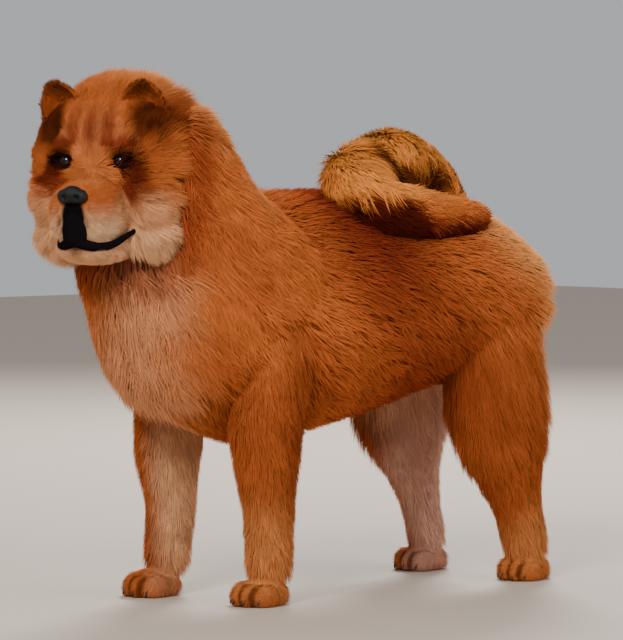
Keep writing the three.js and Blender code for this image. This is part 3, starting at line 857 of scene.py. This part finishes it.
def tuft_mesh(name, roots, normals, lie, depth, spread, width, shades, place, rings, bend):
    """Closed three-sided tufts as one mesh: each rises from its root, bends over and tapers.

    bend is the radius that the tips are drawn in by, so that they follow a rounded form.
    """
    count = len(roots)
    along = unit(lie - normals * (lie * normals).sum(1)[:, None])
    flank = np.cross(normals, along)
    leaning = unit(normals * 0.8 - along * 0.3)
    corner = np.stack([flank, -flank, leaning * 0.8], 1)
    points, tint, patch, facing = [], [], [], []
    for k, girth in [*rings, (1.0, 0.0)]:
        rise = depth * (1 - (1 - k) ** 1.7) - ROOT_DEPTH * (1 - k) - (spread * k) ** 2 / (2 * bend)
        centre = roots + normals * rise[:, None] + along * (spread * k**1.15)[:, None]
        corners_here = 3 if girth else 1
        half = (width * girth / 2)[:, None, None]
        points.append(centre[:, None] + corner[:, :corners_here] * half)
        tint.append(np.repeat((shades * (ROOT_SHADE + TIP_LIGHT * k))[:, None], corners_here, 1))
        offsets = np.array([[-0.5, k], [0.5, k], [0, k]])[:corners_here] * PATCH
        patch.append(place[:, None] + offsets[None])
        outward = corner[:, :corners_here] + (0 if girth else normals[:, None])
        facing.append(mix(unit(outward), normals[:, None], SOFTNESS))
    points, tint, patch, facing = (np.concatenate(v, 1) for v in (points, tint, patch, facing))
    points[..., 2] = np.clip(points[..., 2], 0.6, CROWN)
    per = points.shape[1]
    faces = [(0, 1, 2)]
    for ring in range(len(rings) - 1):
        for i in range(3):
            a, b = ring * 3 + i, ring * 3 + (i + 1) % 3
            faces += [(a, b + 3, b), (a, a + 3, b + 3)]
    last = per - 4
    faces += [(last + i, per - 1, last + (i + 1) % 3) for i in range(3)]
    corners = (np.array(faces)[None] + (np.arange(count) * per)[:, None, None]).reshape(-1)
    mesh = bpy.data.meshes.new(name)
    mesh.vertices.add(count * per)
    mesh.vertices.foreach_set("co", (points.reshape(-1, 3) * MM + SHIFT).astype(np.float32).ravel())
    mesh.loops.add(len(corners))
    mesh.loops.foreach_set("vertex_index", corners.astype(np.int32))
    total = len(corners) // 3
    mesh.polygons.add(total)
    mesh.polygons.foreach_set("loop_start", np.arange(0, total * 3, 3, dtype=np.int32))
    mesh.polygons.foreach_set("use_smooth", np.ones(total, bool))
    mesh.update(calc_edges=True)
    mesh.normals_split_custom_set_from_vertices(unit(facing.reshape(-1, 3)).astype(np.float32))
    uv = mesh.uv_layers.new(name="OFBake")
    uv.data.foreach_set("uv", patch.reshape(-1, 2)[corners].astype(np.float32).ravel())
    paint(mesh, tint.reshape(-1, 3))
    return mesh


CLEARANCE = 3.0  # no tuft is rooted closer than this to the other skin


def everywhere(skin):
    return np.ones(len(skin.points), bool)


def evenly(skin):
    return np.ones(len(skin.points))


def coat(name, skin, parts, count, width, rings=BENT, stand=0.45, clump=26.0, gather=0.35, sway=1.0,
         bend=1000.0, thick=evenly, within=everywhere):
    """A piece of the coat over the named forms.

    stand is the rise of a tuft against its length, clump the size of the locks that the tufts
    draw together in, by gather, and sway how far their ways differ.
    """
    chosen = np.isin(skin.names, parts) & (skin.off_other > CLEARANCE) & within(skin)
    weight = thick(skin)
    first, blended = scatter(skin, chosen, count, weight)
    roots, normals = blended(skin.points), unit(blended(skin.normals))
    lie, depth = blended(skin.lie), blended(skin.depth)
    middles, label = clumps(roots, clump)
    locks = label.max() + 1
    swaying = rng.normal(0, 0.22 * sway, (locks, 3))[label] + rng.normal(0, 0.12 * sway, (count, 3))
    vary = rng.normal(1, 0.12, locks)[label] * rng.normal(1, 0.1, count)
    depth = depth * np.clip(vary, 0.6, 1.15)
    spread = depth * math.sqrt(1 / stand**2 - 1) * rng.uniform(0.8, 1.15, count)
    pull = (middles - roots) * (gather / np.maximum(spread, 1))[:, None]
    way = unit(lie) + swaying + pull
    shades = tones(skin, roots, skin.names[first], skin.off_other[first])
    lightness = rng.normal(1, 0.085, locks)[label] * rng.normal(1, 0.08, count)
    shades = shades * np.clip(lightness, 0.6, 1.4)[:, None]
    cells = np.array([parts.index(n) for n in skin.names[first]])
    across = (cells + 0.04 + 0.92 * skin.turn[first]) / len(parts)
    place = np.column_stack([across, 0.02 + 0.95 * skin.t[first]])
    size = width * rng.uniform(0.75, 1.25, count)
    return tuft_mesh(name, roots, normals, way, depth, spread, size, shades, place, rings, bend)


# Materials


class Value:
    """What a node gives, told apart from a number when it is put into a socket."""

    def __init__(self, socket):
        self.socket = socket


class Shader:
    """A material under construction."""

    def __init__(self, name, **constants):
        self.material = bpy.data.materials.new(name)
        self.material.use_nodes = True
        self.tree = self.material.node_tree
        self.surface = self.tree.nodes["Principled BSDF"]
        for socket, value in constants.items():
            self.surface.inputs[socket.replace("_", " ")].default_value = value

    def node(self, kind, settings=None, inputs=None, output=0):
        made = self.tree.nodes.new(kind)
        for key, value in (settings or {}).items():
            setattr(made, key, value)
        for key, value in (inputs or {}).items():
            self.put(made.inputs[key], value)
        return Value(made.outputs[output])

    def put(self, socket, value):
        if isinstance(value, Value):
            self.tree.links.new(value.socket, socket)
        else:
            socket.default_value = value

    def feed(self, socket, value):
        self.put(self.surface.inputs[socket], value)

    def bump(self, height, strength, distance):
        inputs = {"Height": height, "Strength": strength, "Distance": distance}
        self.feed("Normal", self.node("ShaderNodeBump", None, inputs))


def painted(name):
    """A dull finish that takes its colour from the tones painted on the mesh."""
    shader = Shader(name, Roughness=0.7, Specular_IOR_Level=0.0)
    shader.feed("Base Color", shader.node("ShaderNodeAttribute", {"attribute_name": "tone"}))
    return shader


COAT = painted("coat").material
hide = painted("hide")
grain = hide.node("ShaderNodeTexNoise", None, {"Scale": 260.0, "Detail": 4.0})
hide.bump(grain, 0.6, 0.0015)

NOSE_BLACK, CLAW_BROWN = colour("0d0d11"), colour("2b211c")
nose_skin = Shader("nose_leather", Base_Color=(*NOSE_BLACK, 1), Roughness=0.46, Specular_IOR_Level=0.3)
pebbles = nose_skin.node("ShaderNodeTexVoronoi", None, {"Scale": 620.0})
nose_skin.bump(pebbles, 0.35, 0.0006)
claw_horn = Shader("claw_horn", Base_Color=(*CLAW_BROWN, 1), Roughness=0.4)

eye_glass = Shader("eye", Roughness=0.12, Specular_IOR_Level=0.3, Coat_Weight=0.25, Coat_Roughness=0.03)
PUPIL, IRIS = (0.003, 0.002, 0.002, 1), (0.022, 0.008, 0.004, 1)
in_iris = eye_glass.node("ShaderNodeAttribute", {"attribute_name": "iris"}, output=2)
eye_glass.feed("Base Color", eye_glass.node("ShaderNodeMix", {"data_type": "RGBA"}, {
    0: in_iris, 6: PUPIL, 7: IRIS,
}, output=2))

# The skin, a little darker than the coat over it
BODY_SKIN_SHADE, HEAD_SKIN_SHADE = 0.72, 0.75
paint(body_mesh, tones(body, body.points, body.names, body.off_other) * BODY_SKIN_SHADE)
paint(head_mesh, tones(head, head.points, head.names, head.off_other) * HEAD_SKIN_SHADE)


def dressed(name, mesh, material):
    """A visible piece of the dog, smooth, with its material."""
    mesh.polygons.foreach_set("use_smooth", np.ones(len(mesh.polygons), bool))
    mesh.materials.clear()
    mesh.materials.append(material)
    piece = new_object(name, mesh)
    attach(piece, "root")
    return piece


def joined(name, meshes):
    """Several meshes as one, in the part's own frame."""
    pieces = [new_object(name, mesh) for mesh in meshes]
    with bpy.context.temp_override(active_object=pieces[0], selected_editable_objects=pieces):
        bpy.ops.object.join()
    mesh = pieces[0].data
    bpy.data.objects.remove(pieces[0])
    set_points(mesh, points_of(mesh) + SHIFT)
    return mesh


def rim(name, path, radius, closed, sides=10, flatness=1.0):
    """A rim of bare dark skin along a path in the head's frame."""
    points, faces = ring_tube(path, radius, closed, sides)
    points[:, 1] = mix(path[:, 1].mean(), points[:, 1], flatness)
    mesh = raw_mesh(name, [(HEAD.out(points), faces)])
    paint(mesh, np.tile(BLACK, (len(mesh.vertices), 1)))
    return mesh


MOUTH_MIDDLE = np.array([0.0, 10.0])


def hugging(line, proud):
    """A line round the muzzle moved out, level by level, to just proud of the skin."""
    here = HEAD.into(head.points)
    across, ahead = (here[:, :2] - MOUTH_MIDDLE).T
    bearing, reach = np.arctan2(across, -ahead), np.hypot(across, ahead)
    moved = line.copy()
    for i, (x, y, z) in enumerate(line):
        own = math.atan2(x, MOUTH_MIDDLE[1] - y)
        near = (abs(bearing - own) < 0.1) & (abs(here[:, 2] - z) < 5)
        was = math.hypot(x, y - MOUTH_MIDDLE[1])
        out = np.clip(reach[near].max() if near.any() else was, was - 4, was + 5) + proud[i]
        moved[i, :2] = MOUTH_MIDDLE + out * np.array([math.sin(own), -math.cos(own)])
    return moved


def lips():
    """The dark lips, thickest under the nose and sunk further on the right."""
    radius = 2.4 + 4.6 * np.sin(np.linspace(0, np.pi, len(LIP_LINE))) ** 0.8
    path = hugging(LIP_LINE, mix(-8.0, -5.0, smooth(-24, -8, LIP_LINE[:, 0])))
    for _ in range(10):
        path[1:-1] = (path[:-2] + path[2:]) / 2
    return rim("lips", path, radius, False)


def strip():
    """The dark strip from the nose down to the lips, flattened and wider below."""
    share = np.linspace(0, 1, 14)
    path = np.column_stack([0 * share, mix(-51.0, -56.0, share), mix(-46.0, -104.0, share)])
    radius = mix(14.5, 19, share) * np.sin(np.linspace(0.35, 2.8, len(share))) ** 0.3
    return rim("strip", path, radius, False, sides=20, flatness=0.5)


LID_THICKNESS = 1.5
lids = [rim("lids", lid_ring(side), LID_THICKNESS, True) for side in BOTH_SIDES]
skin_mesh = joined("skin", [body_mesh, head_mesh, lips(), strip(), *lids])
skin_piece = dressed("skin", skin_mesh, hide.material)
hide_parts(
    "torso", "mane", "head", "lower_jaw", "ear_left", "ear_right", "tail_root", "tail_tip",
    *(
        f"{end}_{side}"
        for end in ("front_leg", "front_paw", "thigh", "hock", "hind_paw")
        for side in ("left", "right")
    ),
)


def clear_of_face(skin):
    """The skin away from the eyes, the nose and the lips."""
    here = HEAD.into(skin.points)
    x, y, z = here.T
    clear = off_middle(here, (0, -66, -42), (20, 16, 13)) > 1
    for side in BOTH_SIDES:
        clear &= off_middle(here, (side * EYE_HALF_SPACING, -8, 0), (12.5, 14, 7.5)) > 1
    on_strip = (np.abs(x) < 14.5) & (y < -40) & (z < -40) & (z > -104)
    return clear & ~on_strip & (near_line(here, LIP_LINE[::2], 5.2) < 0.5)


def finer_ahead(skin):
    """Closer tufts on the face than behind it."""
    return 1 + 3 * smooth(60, 0, HEAD.into(skin.points)[:, 1])


def behind_ears(skin):
    """The back of the head, where the ruff lies over the mane."""
    return HEAD.into(skin.points)[:, 1] > 44


COATS = [
    coat("coat_trunk_1", body, ["trunk"], 19500, 2.4),
    coat("coat_trunk_2", body, ["trunk"], 14500, 2.0, stand=0.5, clump=17),
    coat("coat_mane_1", body, ["mane"], 19500, 2.6, stand=0.42, bend=200.0),
    coat("coat_mane_2", body, ["mane"], 16500, 2.0, stand=0.5, clump=18, bend=200.0),
    coat("coat_tail", body, TAIL_PARTS, 19000, 1.8, stand=0.42, clump=14, gather=0.12, bend=95.0),
    coat("coat_legs", body, LEG_PARTS, 46000, 1.7, STRAIGHT, stand=0.24, clump=14, gather=0.2, sway=0.6),
    coat("coat_paws", body, ["paw"], 14000, 1.1, STRAIGHT, stand=0.34, clump=8),
    coat("coat_head", head, HEAD_PARTS, 48000, 1.4, STRAIGHT, stand=0.4, clump=11,
         thick=finer_ahead, within=clear_of_face),
    coat("coat_ruff", head, HEAD_PARTS, 14000, 2.0, STRAIGHT, stand=0.42, clump=16, bend=150.0,
         within=behind_ears),
    coat("coat_muzzle", head, MUZZLE_PARTS, 22000, 0.9, STRAIGHT, stand=0.34, clump=6,
         within=clear_of_face),
    coat("coat_ears", head, ["ear"], 14000, 1.0, STRAIGHT, stand=0.4, clump=6),
]
for mesh in COATS:
    dressed(mesh.name, mesh, COAT)

# Eyes, nose and claws
NOSTRIL_DEPTH, GROOVE_DEPTH = 5.0, 1.6
CLAW_LENGTH, CLAW_RADIUS = 4.5, 2.4


def shaped(name, parts, material, home=HEAD, voxel=None, rounds=0):
    """A small hard piece of several forms, fused and evened where it has a voxel size."""
    if voxel:
        mesh = fused(name, parts, voxel)
        set_points(mesh, evened(mesh, points_of(mesh), rounds))
    else:
        mesh = raw_mesh(name, parts)
    set_points(mesh, home.out(points_of(mesh) / MM) * MM + SHIFT)
    return dressed(name, mesh, material)


def rounded(place, half, rings=32, sides=32):
    """An ellipsoid in the frame of its piece."""
    width, length, height = half
    ends = [(0, -length, 0, width, height, height), (0, length, 0, width, height, height)]
    points, faces = Form("round", ends, (0, 0, 1), cap=0.5, least=0).mesh(rings, sides)
    return points + np.array(place), faces


def eye(side, name):
    """An eyeball with the ring of its iris."""
    middle = np.array([side * EYE_HALF_SPACING, EYE_DEPTH, 0])
    ball = rounded(middle, [EYE_RADIUS] * 3)
    piece = shaped(f"eye_{name}", [ball], eye_glass.material)
    here = HEAD.into((points_of(piece.data) - SHIFT) / MM) - middle
    off_axis = np.hypot(here[:, 0] - side * 1.5, here[:, 2])
    iris = smooth(7.4, 6.2, off_axis) * smooth(2.6, 3.4, off_axis)
    layer = piece.data.attributes.new("iris", "FLOAT", "POINT")
    layer.data.foreach_set("value", iris.astype(np.float32))
    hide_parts(f"eye_{name}")


def nose():
    """The nose leather, with its nostrils and the groove between them."""
    parts = [rounded((0, -61, -41), (14, 11, 11.5))]
    parts += [rounded((side * 10, -61, -43), (10.5, 9, 9.5)) for side in BOTH_SIDES]
    nose_piece = shaped("nose", parts, nose_skin.material, voxel=0.8, rounds=6)
    here = HEAD.into((points_of(nose_piece.data) - SHIFT) / MM)
    dent = np.zeros(len(here))
    for side in BOTH_SIDES:
        off = off_middle(here, (side * 8.5, -69, -44), (3.8, 6, 3.0))
        dent += NOSTRIL_DEPTH * np.exp(-1.5 * off**2)
    dent += GROOVE_DEPTH * np.exp(-((here[:, 0] / 1.2) ** 2)) * smooth(-40, -46, here[:, 2])
    inward = HEAD.turned_out(np.array([[0, 1.0, 0]]))[0]
    set_points(nose_piece.data, points_of(nose_piece.data) + inward * dent[:, None] * MM)
    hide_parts("nose")


def claws(name):
    """The claws of a paw, one ahead of each toe, curving down to a point."""
    scale = PAWS[name][2]
    k = np.linspace(0, 1, 8)
    parts = []
    for across, ahead, size in TOES:
        reach = ahead + size * 1.12 + CLAW_LENGTH * k
        path = np.column_stack([np.full(8, across) * scale, -reach * scale, 10 - 2 * k - 5.5 * k * k])
        parts.append(ring_tube(path, CLAW_RADIUS * np.sqrt(1 - k * 0.97), False, 10))
    shaped(f"claws_{name}", parts, claw_horn.material, paw_home(name))


eye(1, "left")
eye(-1, "right")
nose()
for name in PAWS:
    claws(name)

# Floor, light and camera
FLOOR_REACH = 8.0
FLOOR_TONE = (0.56, 0.47, 0.38, 1)
floor_mesh = bpy.data.meshes.new("floor")
floor_signs = [(-1, -1), (1, -1), (1, 1), (-1, 1)]
floor_corners = [(x * FLOOR_REACH, y * FLOOR_REACH, 0) for x, y in floor_signs]
floor_mesh.from_pydata(floor_corners, [], [(0, 1, 2, 3)])
floor_mesh.materials.append(Shader("floor", Base_Color=FLOOR_TONE, Roughness=0.8).material)
floor = new_object("floor", floor_mesh)
DOG_MIDDLE = Vector((0, 0, 0.35))


def lamp(name, place, size, power, tint=(1, 1, 1)):
    """A round lamp that looks at the dog's middle."""
    data = bpy.data.lights.new(name, "AREA")
    data.shape, data.size, data.energy, data.color = "DISK", size, power, tint
    light = bpy.data.objects.new(name, data)
    light.location = place
    light.rotation_euler = (DOG_MIDDLE - Vector(place)).to_track_quat("-Z", "Y").to_euler()
    bpy.context.scene.collection.objects.link(light)


lamp("key", (2.2, -3.6, 3.0), 1.6, 190, (1, 0.97, 0.93))
lamp("fill", (4.0, 1.5, 1.8), 2.4, 70, (0.95, 0.97, 1))
lamp("rim", (-2.4, 2.6, 2.8), 1.4, 190)

world = bpy.data.worlds.new("studio")
world.use_nodes = True
backdrop = world.node_tree.nodes["Background"]
backdrop.inputs["Color"].default_value = (0.85, 0.87, 0.9, 1)
backdrop.inputs["Strength"].default_value = 0.55
bpy.context.scene.world = world

CAMERA_PLACE = Vector((4.1584, -3.5772, 0.615))
CAMERA_AZIMUTH = math.radians(48)
CAMERA_PITCH = math.radians(2.608)
camera = bpy.data.cameras.new("camera")
camera.lens = 237.07
camera.sensor_width = 36
view = bpy.data.objects.new("camera", camera)
view.location = CAMERA_PLACE + Vector(SHIFT)
view.rotation_euler = (math.pi / 2 - CAMERA_PITCH, 0, CAMERA_AZIMUTH)
camera.clip_end = 50
bpy.context.scene.collection.objects.link(view)
bpy.context.scene.camera = view
